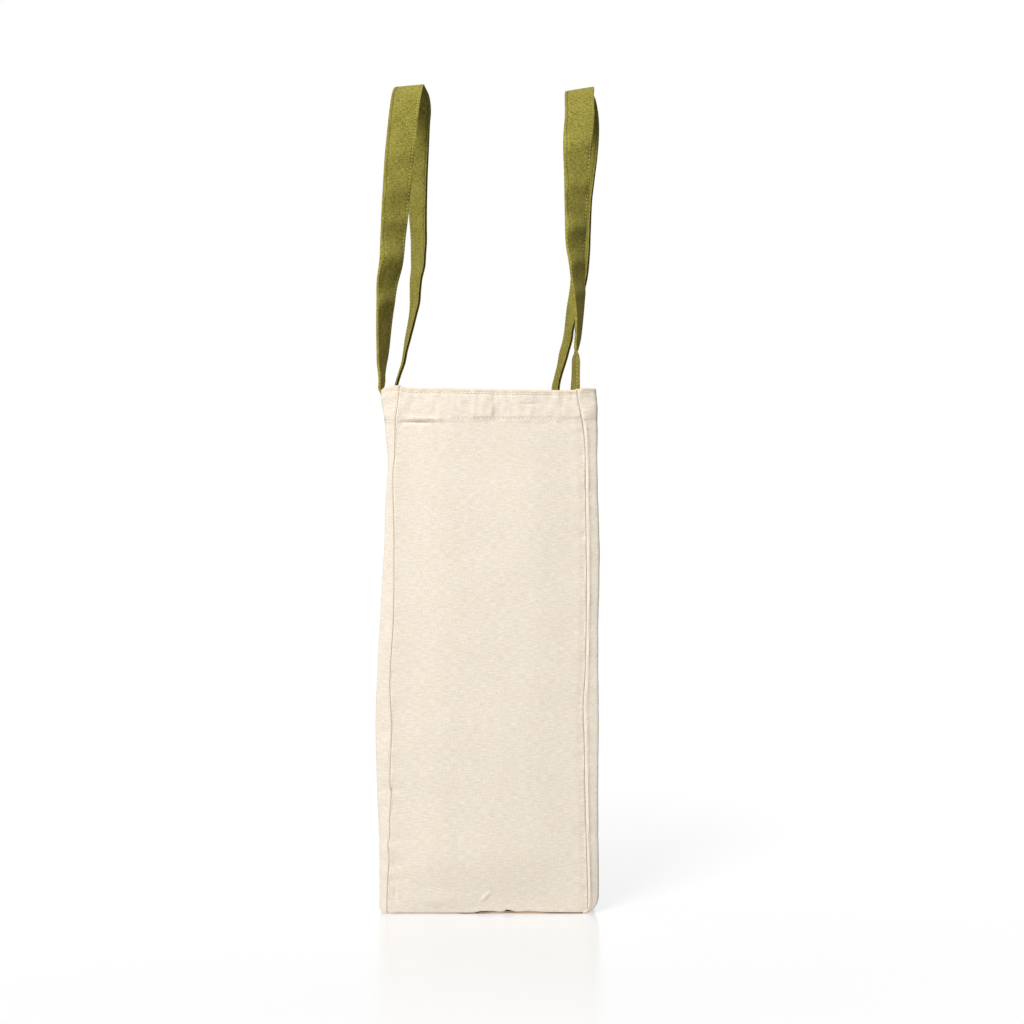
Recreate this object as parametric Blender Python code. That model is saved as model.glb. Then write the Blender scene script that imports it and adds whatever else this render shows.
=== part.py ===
"""Gusseted canvas tote bag with two strap handles, as it stands open on a table.

The bag is cut and sewn as such bags are. One length of canvas runs down the front, under the base and up
the back. A flat gusset closes each narrow side, its edges turned in beside the edges of the long piece. A
facing band goes round the inside of the rim, its ends lapped on one gusset. Each handle is a strap whose two
ends are sewn flat on the outside of a wide panel, below the rim. Between them it stands up as a loop, which
turns a quarter turn in each leg and folds at the rim about a line along X.

Metres, +Z up. The front panel faces -Y, the gussets face +X and -X, and the base rests on Z = 0.
"""

import math

import bmesh
import bpy
from mathutils import Vector

# Body
BODY_WIDTH = 0.350
GUSSET_WIDTH = 0.150
BODY_HEIGHT = 0.408
EDGE_RADIUS = 0.011
SEAM_TURN_RADIUS = 0.002
BASE_EDGE_INNER_RADIUS = 0.0003
CANVAS = 0.0012
SEAM_ALLOWANCE = 0.010
SEATING_GAP = 0.0003

# How the soft rim bows in at the middle of each wide panel, and how far down that reaches
FRONT_BOW = 0.002
BACK_BOW = 0.020
BOW_REACH = 0.250
BOW_FLAT_WIDTH = 0.200

# Facing band inside the rim
FACING_DEPTH = 0.025
FACING_LAP = 0.018
LAP_STEP_LENGTH = 0.006

# Handles
STRAP_WIDTH = 0.025
STRAP_THICKNESS = 0.0025
STRAP_EDGE_CHAMFER = 0.0006
HANDLE_SPACING = 0.150
HANDLE_HEIGHT = 0.275
SEWN_LENGTH = 0.038
TWIST_LENGTH = 0.200
FRONT_LEAN = math.radians(4.3)
BACK_LEAN = math.radians(2.3)
FOLD_CLEARANCE = 0.0004
FOLD_GAP_OUTSIDE = 0.0005
FOLD_GAP_INSIDE = 0.0010

# Fineness of the faceted surfaces
ARC_STEPS = 4
PANEL_COLUMNS = 12
BOW_ROWS = 6
LOOP_STATIONS = 48

# Worked out from the driving dimensions
SIDE = BODY_WIDTH / 2
SEAM_Y = GUSSET_WIDTH / 2
FACE_Y = SEAM_Y + EDGE_RADIUS
BASE_RADIUS = EDGE_RADIUS + SEAM_TURN_RADIUS
BASE_EDGE_RADIUS = CANVAS + BASE_EDGE_INNER_RADIUS
SEAM_TOP = BODY_HEIGHT - FACING_DEPTH - SEATING_GAP


def smoothstep(t):
    t = min(max(t, 0.0), 1.0)
    return t * t * (3 - 2 * t)


def mix(a, b, t):
    return a + (b - a) * t


def steps(first, last, count):
    return [mix(first, last, i / count) for i in range(count + 1)]


def make_material(name, color, roughness):
    material = bpy.data.materials.new(name)
    material.use_nodes = True
    shader = material.node_tree.nodes["Principled BSDF"]
    shader.inputs["Base Color"].default_value = (*color, 1)
    shader.inputs["Roughness"].default_value = roughness
    shader.inputs["Metallic"].default_value = 0
    return material


def add_object(name, bm, material):
    """The bmesh as a named object with outward faces, shaded smooth but for its sharp edges."""
    bmesh.ops.recalc_face_normals(bm, faces=bm.faces)
    mesh = bpy.data.meshes.new(name)
    bm.to_mesh(mesh)
    bm.free()
    mesh.materials.append(material)
    mesh.shade_smooth()
    mesh.set_sharp_from_angle(angle=math.radians(35))
    piece = bpy.data.objects.new(name, mesh)
    bpy.context.collection.objects.link(piece)
    return piece


def loft(rings):
    """A closed bmesh through rings of points, each ring with as many points, and capped at both ends."""
    bm = bmesh.new()
    rows = [[bm.verts.new(point) for point in ring] for ring in rings]
    count = len(rows[0])
    for low, high in zip(rows, rows[1:]):
        for i in range(count):
            j = (i + 1) % count
            bm.faces.new((low[i], low[j], high[j], high[i]))
    bm.faces.new(reversed(rows[0]))
    bm.faces.new(rows[-1])
    return bm


def bow_at(x, z, bow):
    """How far a wide panel stands in from its plane: the flat middle of the rim most, the corners not at all."""
    ramp_start = BOW_FLAT_WIDTH / 2
    ramp_end = SIDE - EDGE_RADIUS
    across = 1 - smoothstep((abs(x) - ramp_start) / (ramp_end - ramp_start))
    up = smoothstep((z - BODY_HEIGHT + BOW_REACH) / BOW_REACH)
    return bow * across * up


def panel_face_y(x, z, facing):
    """Y of the outer face of the front (facing -1) or back (facing +1) panel at a place on it."""
    bow = FRONT_BOW if facing < 0 else BACK_BOW
    return facing * (FACE_Y - bow_at(x, z, bow))


def allowance_at(z):
    """Width of the free seam allowance at a height: clipped at the base corner, and none behind the facing."""
    return min(SEAM_ALLOWANCE, z - BASE_RADIUS, SEAM_TOP - z)


def profile_across(radius, depth_at, allowance):
    """One cross-section of the long piece, as (x, inset) pairs from the right seam to the left and back.

    The cloth runs flat across the panel and turns round each long edge to its seam, where its allowance turns
    in. depth_at gives the inset of the flat stretch.
    """
    inner_radius = radius - CANVAS
    turned_in = allowance > 2 * CANVAS
    last_angle = math.asin(CANVAS / inner_radius) if turned_in else 0.0
    outer_half = []
    inner_half = []
    for angle in steps(0.0, math.pi / 2, ARC_STEPS):
        reach = SIDE - radius + radius * math.cos(angle)
        outer_half.append((reach, radius - radius * math.sin(angle)))
    for angle in steps(last_angle, math.pi / 2, ARC_STEPS):
        reach = SIDE - radius + inner_radius * math.cos(angle)
        inner_half.append((reach, radius - inner_radius * math.sin(angle)))
    if turned_in:
        tip = SIDE - allowance
        seam_end = [(tip, radius), (tip, radius - CANVAS)]
    else:
        seam_end = [(SIDE - CANVAS / 3, radius), (SIDE - 2 * CANVAS / 3, radius)]
    flat = steps(SIDE - radius, -SIDE + radius, PANEL_COLUMNS)[1:-1]
    outer_flat = [(x, depth_at(x)) for x in flat]
    inner_flat = [(x, depth_at(x) + CANVAS) for x in reversed(flat)]
    mirrored_outer = [(-x, inset) for x, inset in reversed(outer_half)]
    mirrored_inner = [(-x, inset) for x, inset in inner_half]
    mirrored_end = [(-x, inset) for x, inset in seam_end]
    right_inner = list(reversed(inner_half))
    return (
        outer_half + outer_flat + mirrored_outer + mirrored_end
        + mirrored_inner + inner_flat + right_inner + list(reversed(seam_end))
    )


def wall_heights():
    """Heights of the cross-sections up a wide panel, from the base corner to the rim."""
    low_clip = BASE_RADIUS + SEAM_ALLOWANCE
    high_clip = SEAM_TOP - SEAM_ALLOWANCE
    bow_rows = [z for z in steps(BODY_HEIGHT - BOW_REACH, high_clip, BOW_ROWS) if z > low_clip]
    hem_middle = (SEAM_TOP + BODY_HEIGHT) / 2
    return [BASE_RADIUS, low_clip, *bow_rows, SEAM_TOP, hem_middle, BODY_HEIGHT]


def wall_ring(z, facing):
    """The long piece's cross-section on a wide panel at a height."""
    bow = FRONT_BOW if facing < 0 else BACK_BOW
    pairs = profile_across(EDGE_RADIUS, lambda x: bow_at(x, z, bow), allowance_at(z))
    return [Vector((x, facing * (FACE_Y - inset), z)) for x, inset in pairs]


def corner_ring(angle, facing):
    """The cross-section in the turn between a wide panel and the base: 0 at the panel, a quarter turn at the base."""
    radius = mix(EDGE_RADIUS, BASE_EDGE_RADIUS, smoothstep(angle / (math.pi / 2)))
    pairs = profile_across(radius, lambda x: 0.0, 0.0)
    centre = FACE_Y - BASE_RADIUS
    ring = []
    for x, inset in pairs:
        reach = BASE_RADIUS - inset
        ring.append(Vector((x, facing * (centre + reach * math.cos(angle)), BASE_RADIUS - reach * math.sin(angle))))
    return ring


def make_body_panel(material):
    """Front, base and back in one length of canvas."""
    turn = steps(0.0, math.pi / 2, 2 * ARC_STEPS)[1:]
    rings = [wall_ring(z, -1) for z in reversed(wall_heights())]
    rings += [corner_ring(angle, -1) for angle in turn]
    rings += [corner_ring(angle, 1) for angle in reversed(turn)]
    rings += [wall_ring(z, 1) for z in wall_heights()]
    return add_object("body_panel", loft(rings), material)


def seam_line():
    """The seam between the long piece and a gusset, as (y, z): down the front, along the base and up the back."""
    half = [Vector((SEAM_Y, BODY_HEIGHT))]
    for angle in steps(0.0, math.pi / 2, 2 * ARC_STEPS):
        reach = BASE_RADIUS - mix(EDGE_RADIUS, BASE_EDGE_RADIUS, smoothstep(angle / (math.pi / 2)))
        y = FACE_Y - BASE_RADIUS + reach * math.cos(angle)
        half.append(Vector((y, BASE_RADIUS - reach * math.sin(angle))))
    return [Vector((-point.x, point.y)) for point in half] + list(reversed(half))


def set_in(line, distance):
    """An open line of (y, z) points moved to its left by a distance, each along the mean of its neighbours' turns."""
    moved = []
    for i, point in enumerate(line):
        ahead = (line[min(i + 1, len(line) - 1)] - point).normalized()
        behind = (point - line[max(i - 1, 0)]).normalized()
        along = (ahead + behind).normalized()
        left = Vector((-along.y, along.x))
        widening = 1 / max(along.dot(behind if i else ahead), 0.5)
        moved.append(point + left * distance * widening)
    return moved


def turn_in(bm, facing, is_on_strip):
    """Turns in a strip of a gusset's inner face as a flap as deep as the seam allowance."""
    strip = []
    for face in bm.faces:
        middle = face.calc_center_median()
        if face.normal.x * facing < -0.5 and abs(middle.x) > SIDE - 1.5 * CANVAS and is_on_strip(middle):
            strip.append(face)
    flap = bmesh.ops.extrude_face_region(bm, geom=strip)
    moved = [item for item in flap["geom"] if isinstance(item, bmesh.types.BMVert)]
    bmesh.ops.translate(bm, verts=moved, vec=Vector((-facing * (SEAM_ALLOWANCE - CANVAS), 0, 0)))
    bmesh.ops.delete(bm, geom=strip, context="FACES_ONLY")


def make_gusset(name, facing, material):
    """A flat side panel, with flaps turned in along its side seams and along the base, clipped at the corners."""
    outline = set_in(seam_line(), SEATING_GAP)
    edge_y = SEAM_Y - SEATING_GAP
    bottom = BASE_EDGE_RADIUS + SEATING_GAP
    flap_low = BASE_RADIUS + SEAM_ALLOWANCE
    flap_high = SEAM_TOP - SEAM_ALLOWANCE
    base_flap_end = edge_y - SEAM_ALLOWANCE
    faces_at = (facing * SIDE, facing * (SIDE - CANVAS))
    bm = loft([[Vector((x, point.x, point.y)) for point in outline] for x in faces_at])
    bmesh.ops.recalc_face_normals(bm, faces=bm.faces)
    cuts = [(Vector((0, 1, 0)), y) for y in (-edge_y + CANVAS, -base_flap_end, base_flap_end, edge_y - CANVAS)]
    cuts += [(Vector((0, 0, 1)), z) for z in (bottom + CANVAS, flap_low, flap_high)]
    for normal, place in cuts:
        everything = bm.verts[:] + bm.edges[:] + bm.faces[:]
        bmesh.ops.bisect_plane(bm, geom=everything, plane_co=normal * place, plane_no=normal)
    turn_in(bm, facing, lambda at: at.y > edge_y - CANVAS and flap_low < at.z < flap_high)
    turn_in(bm, facing, lambda at: at.y < CANVAS - edge_y and flap_low < at.z < flap_high)
    turn_in(bm, facing, lambda at: abs(at.y) < base_flap_end and at.z < bottom + CANVAS)
    return add_object(name, bm, material)


def facing_path():
    """The facing's way round the rim, as (x, y, inward x, inward y, extra inset, whether on a wide panel).

    It starts on the right gusset, goes by the front, the left gusset and the back, and ends on the right gusset
    again, where its last stretch steps in and laps over its start.
    """
    radius = EDGE_RADIUS
    centre_x = SIDE - radius
    flat = steps(centre_x, -centre_x, PANEL_COLUMNS)
    arc = steps(0.0, math.pi / 2, ARC_STEPS)
    path = [(SIDE, FACING_LAP / 2, -1, 0, 0.0, 0)]
    for angle in arc:
        c, s = math.cos(angle), math.sin(angle)
        path.append((centre_x + radius * c, -SEAM_Y - radius * s, -c, s, 0.0, 0))
    path += [(x, -FACE_Y, 0, 1, 0.0, -1) for x in flat[1:-1]]
    for angle in reversed(arc):
        c, s = math.cos(angle), math.sin(angle)
        path.append((-centre_x - radius * c, -SEAM_Y - radius * s, c, s, 0.0, 0))
    for angle in arc:
        c, s = math.cos(angle), math.sin(angle)
        path.append((-centre_x - radius * c, SEAM_Y + radius * s, c, -s, 0.0, 0))
    path += [(-x, FACE_Y, 0, -1, 0.0, 1) for x in flat[1:-1]]
    for angle in reversed(arc):
        c, s = math.cos(angle), math.sin(angle)
        path.append((centre_x + radius * c, SEAM_Y + radius * s, -c, -s, 0.0, 0))
    lapped = CANVAS + SEATING_GAP
    lap_start = FACING_LAP / 2 + SEATING_GAP
    path.append((SIDE, lap_start + LAP_STEP_LENGTH, -1, 0, 0.0, 0))
    path.append((SIDE, lap_start, -1, 0, lapped, 0))
    path.append((SIDE, -FACING_LAP / 2, -1, 0, lapped, 0))
    return path


def make_rim_facing(material):
    """The band inside the rim, seated against the panels and gussets."""
    heights = steps(BODY_HEIGHT - FACING_DEPTH, BODY_HEIGHT, 2)
    rings = []
    for x, y, inward_x, inward_y, extra, panel in facing_path():
        outer = []
        inner = []
        for z in heights:
            bowed = 0.0
            if panel:
                bowed = FACE_Y - abs(panel_face_y(x, z, panel))
            near = CANVAS + SEATING_GAP + extra + bowed
            far = near + CANVAS
            outer.append(Vector((x + inward_x * near, y + inward_y * near, z)))
            inner.append(Vector((x + inward_x * far, y + inward_y * far, z)))
        rings.append(outer + list(reversed(inner)))
    return add_object("rim_facing", loft(rings), material)


def make_sewn_end(name, leg_x, facing, material):
    """One sewn-down end of a handle strap, flat on the outside of its panel with its top at the rim."""
    columns = steps(leg_x - STRAP_WIDTH / 2, leg_x + STRAP_WIDTH / 2, 4)
    rings = []
    for z in steps(BODY_HEIGHT - SEWN_LENGTH, BODY_HEIGHT, 4):
        against = [(x, panel_face_y(x, z, facing) + facing * SEATING_GAP) for x in columns]
        ring = [Vector((x, y, z)) for x, y in against]
        ring += [Vector((x, y + facing * STRAP_THICKNESS, z)) for x, y in reversed(against)]
        rings.append(ring)
    return add_object(name, loft(rings), material)


def fold_line_y(facing):
    """Y of the line along X that a handle folds about: just outside its own sewn ends."""
    at_leg = panel_face_y(HANDLE_SPACING / 2, BODY_HEIGHT, facing)
    return at_leg + facing * (SEATING_GAP + STRAP_THICKNESS + FOLD_CLEARANCE)


def arch_points(count):
    """Points evenly spaced along the loop's arch, a half ellipse from the right leg's foot to the left's."""
    half_span = HANDLE_SPACING / 2
    rise = HANDLE_HEIGHT - STRAP_THICKNESS / 2
    fine = []
    for angle in steps(0.0, math.pi, 40 * count):
        fine.append(Vector((half_span * math.cos(angle), 0, rise * math.sin(angle))))
    travelled = [0.0]
    for a, b in zip(fine, fine[1:]):
        travelled.append(travelled[-1] + (b - a).length)
    points = []
    at = 0
    for wanted in steps(0.0, travelled[-1], count):
        while at < len(fine) - 2 and travelled[at + 1] < wanted:
            at += 1
        share = (wanted - travelled[at]) / (travelled[at + 1] - travelled[at])
        points.append(fine[at].lerp(fine[at + 1], share))
    return points, travelled[-1]


def strap_section():
    """The strap's cross-section, as (across, through) pairs, with its long edges eased."""
    half = STRAP_WIDTH / 2
    thick = STRAP_THICKNESS / 2
    ease = min(STRAP_EDGE_CHAMFER, 0.4 * STRAP_THICKNESS)
    quarter = [(half, thick - ease), (half - ease, thick)]
    left = [(-across, through) for across, through in reversed(quarter)]
    below = [(-across, -through) for across, through in quarter + left]
    return quarter + left + below


def make_handle(name, facing, lean, material):
    """The free loop of a strap, with its origin on the fold line and leant about it.

    Each leg leaves the rim flat against the panel and turns a quarter turn on its way up, so that the strap lies
    across the bag's depth at the top of the arch. In both handles the leg's outer edge turns towards the front.
    """
    points, length = arch_points(LOOP_STATIONS)
    middle_y = -facing * (FOLD_CLEARANCE + STRAP_THICKNESS / 2)
    front = Vector((0, -1, 0))
    rings = []
    for i, point in enumerate(points):
        before = points[max(i - 1, 0)]
        after = points[min(i + 1, LOOP_STATIONS)]
        along = (after - before).normalized()
        if i in (0, LOOP_STATIONS):
            along = Vector((0, 0, 1 if i == 0 else -1))
        outward = front.cross(along).normalized()
        travelled = length * i / LOOP_STATIONS
        from_foot = min(travelled, length - travelled)
        turn = math.pi / 2 * smoothstep(from_foot / TWIST_LENGTH)
        across = math.cos(turn) * outward + math.sin(turn) * front
        through = across.cross(along)
        ring = []
        for a, t in strap_section():
            place = point + across * a + through * t
            place.y += middle_y
            if i in (0, LOOP_STATIONS):
                inside = (-facing * place.y - FOLD_CLEARANCE) / STRAP_THICKNESS
                place.z = mix(FOLD_GAP_OUTSIDE, FOLD_GAP_INSIDE, inside)
            ring.append(place)
        rings.append(ring)
    handle = add_object(name, loft(rings), material)
    handle.location = (0, fold_line_y(facing), BODY_HEIGHT)
    handle.rotation_euler.x = lean
    return handle


def main():
    for left_over in list(bpy.data.objects):
        bpy.data.objects.remove(left_over)
    canvas = make_material("natural_canvas", (0.84, 0.76, 0.63), 0.9)
    facing_canvas = make_material("facing_canvas", (0.84, 0.76, 0.63), 0.9)
    green = make_material("olive_strap", (0.25, 0.22, 0.05), 0.85)
    make_body_panel(canvas)
    make_gusset("gusset_right", 1, canvas)
    make_gusset("gusset_left", -1, canvas)
    make_rim_facing(facing_canvas)
    leg = HANDLE_SPACING / 2
    for side, facing, lean in (("front", -1, -FRONT_LEAN), ("back", 1, -BACK_LEAN)):
        make_handle(f"{side}_handle", facing, lean, green)
        make_sewn_end(f"{side}_handle_right_end", leg, facing, green)
        make_sewn_end(f"{side}_handle_left_end", -leg, facing, green)


main()
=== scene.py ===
import math

import bpy
import numpy as np
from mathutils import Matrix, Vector, noise


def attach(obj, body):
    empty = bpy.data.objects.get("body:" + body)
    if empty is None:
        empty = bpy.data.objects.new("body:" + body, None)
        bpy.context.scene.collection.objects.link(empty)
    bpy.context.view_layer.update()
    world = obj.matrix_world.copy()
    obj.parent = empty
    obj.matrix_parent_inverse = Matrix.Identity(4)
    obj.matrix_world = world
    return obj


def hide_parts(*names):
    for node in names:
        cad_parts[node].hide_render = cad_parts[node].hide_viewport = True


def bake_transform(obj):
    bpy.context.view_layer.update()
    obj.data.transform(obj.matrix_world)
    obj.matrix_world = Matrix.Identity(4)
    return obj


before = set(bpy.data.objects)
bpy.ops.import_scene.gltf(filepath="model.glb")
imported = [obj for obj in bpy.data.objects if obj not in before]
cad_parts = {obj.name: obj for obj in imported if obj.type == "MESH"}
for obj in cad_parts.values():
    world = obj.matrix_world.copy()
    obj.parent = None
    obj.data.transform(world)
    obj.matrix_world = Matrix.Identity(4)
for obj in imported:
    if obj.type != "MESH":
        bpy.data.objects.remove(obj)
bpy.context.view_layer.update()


# The table and the light
# The bag stands on a smooth white board in front of a white backdrop. A large soft lamp lights it from the
# front left, and the white surroundings fill in the rest.

WHITE = (1, 1, 1, 1)
BOARD_SIZE = 6.0
BOARD_CLEAR_RADIUS = 0.26
BOARD_FADE_RADIUS = 0.70
BOARD_GLOW = 0.575
SURROUNDINGS_STRENGTH = 0.28
LAMP_PLACE = Vector((3.95, -1.95, 3.4))
LAMP_TARGET = Vector((0, 0, 0.24))
LAMP_SIZE = 1.9
LAMP_WATTS = 290


class Signal:
    """One value that varies over a surface: a node's socket, on which sums are written as on a number."""

    def __init__(self, finish, socket):
        self.finish = finish
        self.socket = socket

    def worked(self, operation, *values):
        return self.finish.node("ShaderNodeMath", {"operation": operation}, dict(enumerate(values)))

    def __add__(self, other):
        return self.worked("ADD", self, other)

    def __radd__(self, other):
        return self.worked("ADD", other, self)

    def __sub__(self, other):
        return self.worked("SUBTRACT", self, other)

    def __rsub__(self, other):
        return self.worked("SUBTRACT", other, self)

    def __mul__(self, other):
        return self.worked("MULTIPLY", self, other)

    def __rmul__(self, other):
        return self.worked("MULTIPLY", other, self)

    def __gt__(self, other):
        return self.worked("GREATER_THAN", self, other)

    def either(self, other):
        return self.worked("MAXIMUM", self, other)

    def wave(self):
        return self.worked("SINE", self)

    def size(self):
        return self.worked("ABSOLUTE", self)

    def held(self):
        return self.finish.node("ShaderNodeClamp", {}, {"Value": self})

    def beside(self, out):
        """Another output of the same node."""
        return Signal(self.finish, self.socket.node.outputs[out])


class Finish:
    """A procedural finish, on a material or on the surroundings, whose nodes are added one at a time."""

    def __init__(self, owner, shader):
        owner.use_nodes = True
        self.owner = owner
        self.tree = owner.node_tree
        self.shader = self.tree.nodes[shader]

    def node(self, kind, settings, feeds, out=0):
        """The output of a new node of a kind. Its settings are made before its sockets are fed."""
        made = self.tree.nodes.new(kind)
        for key, value in settings.items():
            setattr(made, key, value)
        self.feed(made, feeds)
        return Signal(self, made.outputs[out])

    def feed(self, node, feeds):
        """Gives a node's sockets their values or links."""
        for key, value in feeds.items():
            if isinstance(value, Signal):
                self.tree.links.new(value.socket, node.inputs[key])
            else:
                node.inputs[key].default_value = value


bpy.ops.object.select_all(action="DESELECT")
bpy.ops.mesh.primitive_plane_add(size=BOARD_SIZE, location=(0, 0, 0))
board = bpy.context.object
board.name = "board"
paint = Finish(bpy.data.materials.new("white_board"), "Principled BSDF")
seen = paint.node("ShaderNodeLightPath", {}, {}, out="Is Camera Ray")
place_on_board = paint.node("ShaderNodeTexCoord", {}, {}, out="Object")
distance = paint.node("ShaderNodeVectorMath", {"operation": "LENGTH"}, {0: place_on_board}, out="Value")
far_off = paint.node(
    "ShaderNodeMapRange", {"interpolation_type": "SMOOTHSTEP"},
    {"Value": distance, "From Min": BOARD_CLEAR_RADIUS, "From Max": BOARD_FADE_RADIUS},
)
paint.feed(paint.shader, {
    "Base Color": (0.24, 0.24, 0.24, 1), "Roughness": 0.18, "Specular IOR Level": 0.22,
    "Emission Color": seen, "Emission Strength": BOARD_GLOW,
})
near_by = Signal(paint, paint.shader.outputs["BSDF"])
backdrop = paint.node("ShaderNodeEmission", {}, {"Color": WHITE})
faded = paint.node("ShaderNodeMixShader", {}, {"Fac": far_off * seen, 1: near_by, 2: backdrop})
paint.feed(paint.tree.nodes["Material Output"], {"Surface": faded})
board.data.materials.append(paint.owner)

surroundings = Finish(bpy.data.worlds.new("white_surroundings"), "Background")
bpy.context.scene.world = surroundings.owner
straight = surroundings.node("ShaderNodeLightPath", {}, {}, out="Is Camera Ray")
shown = straight.either(straight.beside("Is Glossy Ray")).either(straight.beside("Is Transmission Ray"))
strength = shown * (1 - SURROUNDINGS_STRENGTH) + SURROUNDINGS_STRENGTH
surroundings.feed(surroundings.shader, {"Color": WHITE, "Strength": strength})

bpy.ops.object.light_add(type="AREA", location=LAMP_PLACE)
lamp = bpy.context.object
lamp.name = "key_lamp"
lamp.data.shape = "SQUARE"
lamp.data.size = LAMP_SIZE
lamp.data.energy = LAMP_WATTS
lamp.rotation_euler = (LAMP_TARGET - LAMP_PLACE).to_track_quat("-Z", "Y").to_euler()

bpy.ops.object.camera_add(location=(1.675, 0.001, 0.312))
camera = bpy.context.object
camera.name = "camera"
camera.rotation_euler = (math.radians(90), 0, math.radians(89.35))
camera.data.sensor_width = 36
camera.data.lens = 67.9
bpy.context.scene.camera = camera
bpy.context.scene.view_settings.view_transform = "Standard"


# The body: front, base and back
# One length of natural cotton canvas runs down the front, under the base and up the back. Along each side it
# turns round a soft edge and in to the seam with the gusset, and at the rim it is folded over to the inside.

CANVAS_THICKNESS = 0.0008
HALF_WIDTH = 0.175
RIM_HEIGHT = 0.408
RIM_ROLL = 0.0011
RIM_FOLD_LENGTH = 0.007
HEM_TOP_ROW = 0.4045
HEM_LOW_ROW = 0.3843
HEM_FOOT = 0.378
RIM_WAVE_FROM = 0.385
EDGE_TURN = 0.0038
EDGE_TURN_ANGLE = math.radians(75)
SEAM_CURL = 0.0009
SEAM_HOLD = SEAM_CURL + 0.00002
SEAM_BEAD = 0.0007
ALLOWANCE = 0.009
BASE_TURN = 0.010
FRONT_CORNER_TURN = 0.0055
BACK_CORNER_TURN = 0.0130
BASE_LIP = 0.0003
BASE_FOLLOW = 0.35
PANEL_MIDDLE = 0.085
HANDLE_REACH = 0.075
BOW_REACH = 0.250

# Lengths on the flat cut, across it from its middle line and along it from the middle of the base
FLAT_REACH = HALF_WIDTH - EDGE_TURN
TURN_LENGTH = 0.0115
SEAM_REACH = FLAT_REACH + TURN_LENGTH
CURL_LENGTH = SEAM_CURL * math.pi / 2
BASE_REACH = 0.0750
WALL_FOOT = BASE_REACH + BASE_TURN * math.pi / 2
WALL_LENGTH = RIM_HEIGHT - BASE_TURN - RIM_ROLL
WALL_TOP = WALL_FOOT + WALL_LENGTH
ROLL_LENGTH = RIM_ROLL * math.pi

# The share of TURN_LENGTH that the soft edge turns over, and how far along x and inwards the turn takes it
TURN_SHARE = 0.28
TURN_ALONG = 0.48
TURN_DEPTH = 0.15

# (height, distance) of the soft edge and of the seam from the middle plane, up the corner at the camera's
# left and up the one opposite it
FRONT_EDGE = [
    (0.000, 0.0850), (0.050, 0.0851), (0.073, 0.0859), (0.091, 0.0868), (0.120, 0.0875), (0.147, 0.0882),
    (0.170, 0.0874), (0.203, 0.0860), (0.232, 0.0843), (0.259, 0.0828), (0.285, 0.0813), (0.315, 0.0805),
    (0.334, 0.0791), (0.352, 0.0783), (0.371, 0.0801), (0.390, 0.0817), (0.400, 0.0834), (0.412, 0.0838),
]
FRONT_SEAM = [
    (0.000, 0.0790), (0.022, 0.0785), (0.045, 0.0771), (0.0555, 0.0782), (0.0590, 0.0768), (0.077, 0.0766),
    (0.0960, 0.0755), (0.0990, 0.0765), (0.113, 0.0763), (0.147, 0.0754), (0.181, 0.0766), (0.230, 0.0738),
    (0.290, 0.0734), (0.341, 0.0742), (0.356, 0.0729), (0.383, 0.0723), (0.399, 0.0700), (0.412, 0.0690),
]
# The same up the other two corners
BACK_EDGE = [
    (0.000, 0.0856), (0.030, 0.0857), (0.090, 0.0851), (0.150, 0.0856), (0.200, 0.0852), (0.225, 0.0853),
    (0.275, 0.0864), (0.300, 0.0859), (0.325, 0.0850), (0.353, 0.0845), (0.378, 0.0848), (0.412, 0.0836),
]
BACK_SEAM = [
    (0.000, 0.0773), (0.025, 0.0767), (0.057, 0.0758), (0.096, 0.0748), (0.135, 0.0742), (0.161, 0.0734),
    (0.187, 0.0750), (0.250, 0.0760), (0.330, 0.0752), (0.366, 0.0746), (0.383, 0.0725), (0.399, 0.0696),
    (0.412, 0.0680),
]
# How far back along x the soft edge of those two lies, as a share of EDGE_TURN
BACK_EDGE_REACH = [
    (0.000, 1.0), (0.030, 1.0), (0.070, 0.74), (0.190, 0.74), (0.270, 1.0), (0.362, 1.0), (0.387, 1.7),
    (0.412, 1.7),
]
# Where the front panel stands at the handle, up from the base, and how far the back rim bows in along x
FRONT_MIDDLE = [
    (0.000, 0.0845), (0.050, 0.0845), (0.150, 0.0862), (0.250, 0.0838), (0.310, 0.0812), (0.350, 0.0790),
    (0.368, 0.0790), (0.382, 0.0802), (0.394, 0.0822), (0.402, 0.0850), (0.412, 0.0868),
]
BACK_BOW = [
    (-0.170, 0.000), (-0.125, 0.014), (-0.080, 0.0248), (-0.030, 0.0245), (0.020, 0.0205), (0.075, 0.0142),
    (0.120, 0.0065), (0.170, 0.000),
]
# How far the rim is lifted along the top of a gusset, and the base along its foot, from the front to the back
NEAR_RIM = [
    (-0.0860, -0.0020), (-0.0835, -0.0009), (-0.0810, 0.0006), (-0.0775, 0.0018), (-0.0700, 0.0022),
    (-0.0640, 0.0006), (-0.0375, 0.0002), (0.0000, -0.0006), (0.0400, -0.0014), (0.0665, -0.0014),
    (0.0735, 0.0003), (0.0860, 0.0001),
]
BASE_HEM = [
    (-0.0860, 0.0000), (-0.0720, 0.0004), (-0.0600, 0.0001), (-0.0250, 0.0000), (-0.0110, 0.0001),
    (-0.0060, 0.0012), (0.0020, 0.0011), (0.0095, 0.0007), (0.0118, 0.0010), (0.0138, 0.0022),
    (0.0180, 0.0014), (0.0215, 0.0007), (0.0300, 0.0010), (0.0380, 0.0006), (0.0480, 0.0002),
    (0.0680, 0.0000), (0.0860, 0.0000),
]
# How deep in shade the gusset's foot lies along it: at 1 it is the tan of a fold, at 2 nearly black
BASE_SHADE = [
    (-0.0860, 0.0), (-0.0720, 0.2), (-0.0440, 0.4), (-0.0300, 0.8), (-0.0205, 1.1), (-0.0190, 1.8),
    (-0.0060, 1.7), (-0.0030, 1.4), (0.0090, 1.3), (0.0120, 1.7), (0.0190, 1.7), (0.0250, 1.4),
    (0.0430, 1.45), (0.0470, 1.85), (0.0730, 1.85), (0.0860, 1.0),
]
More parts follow.
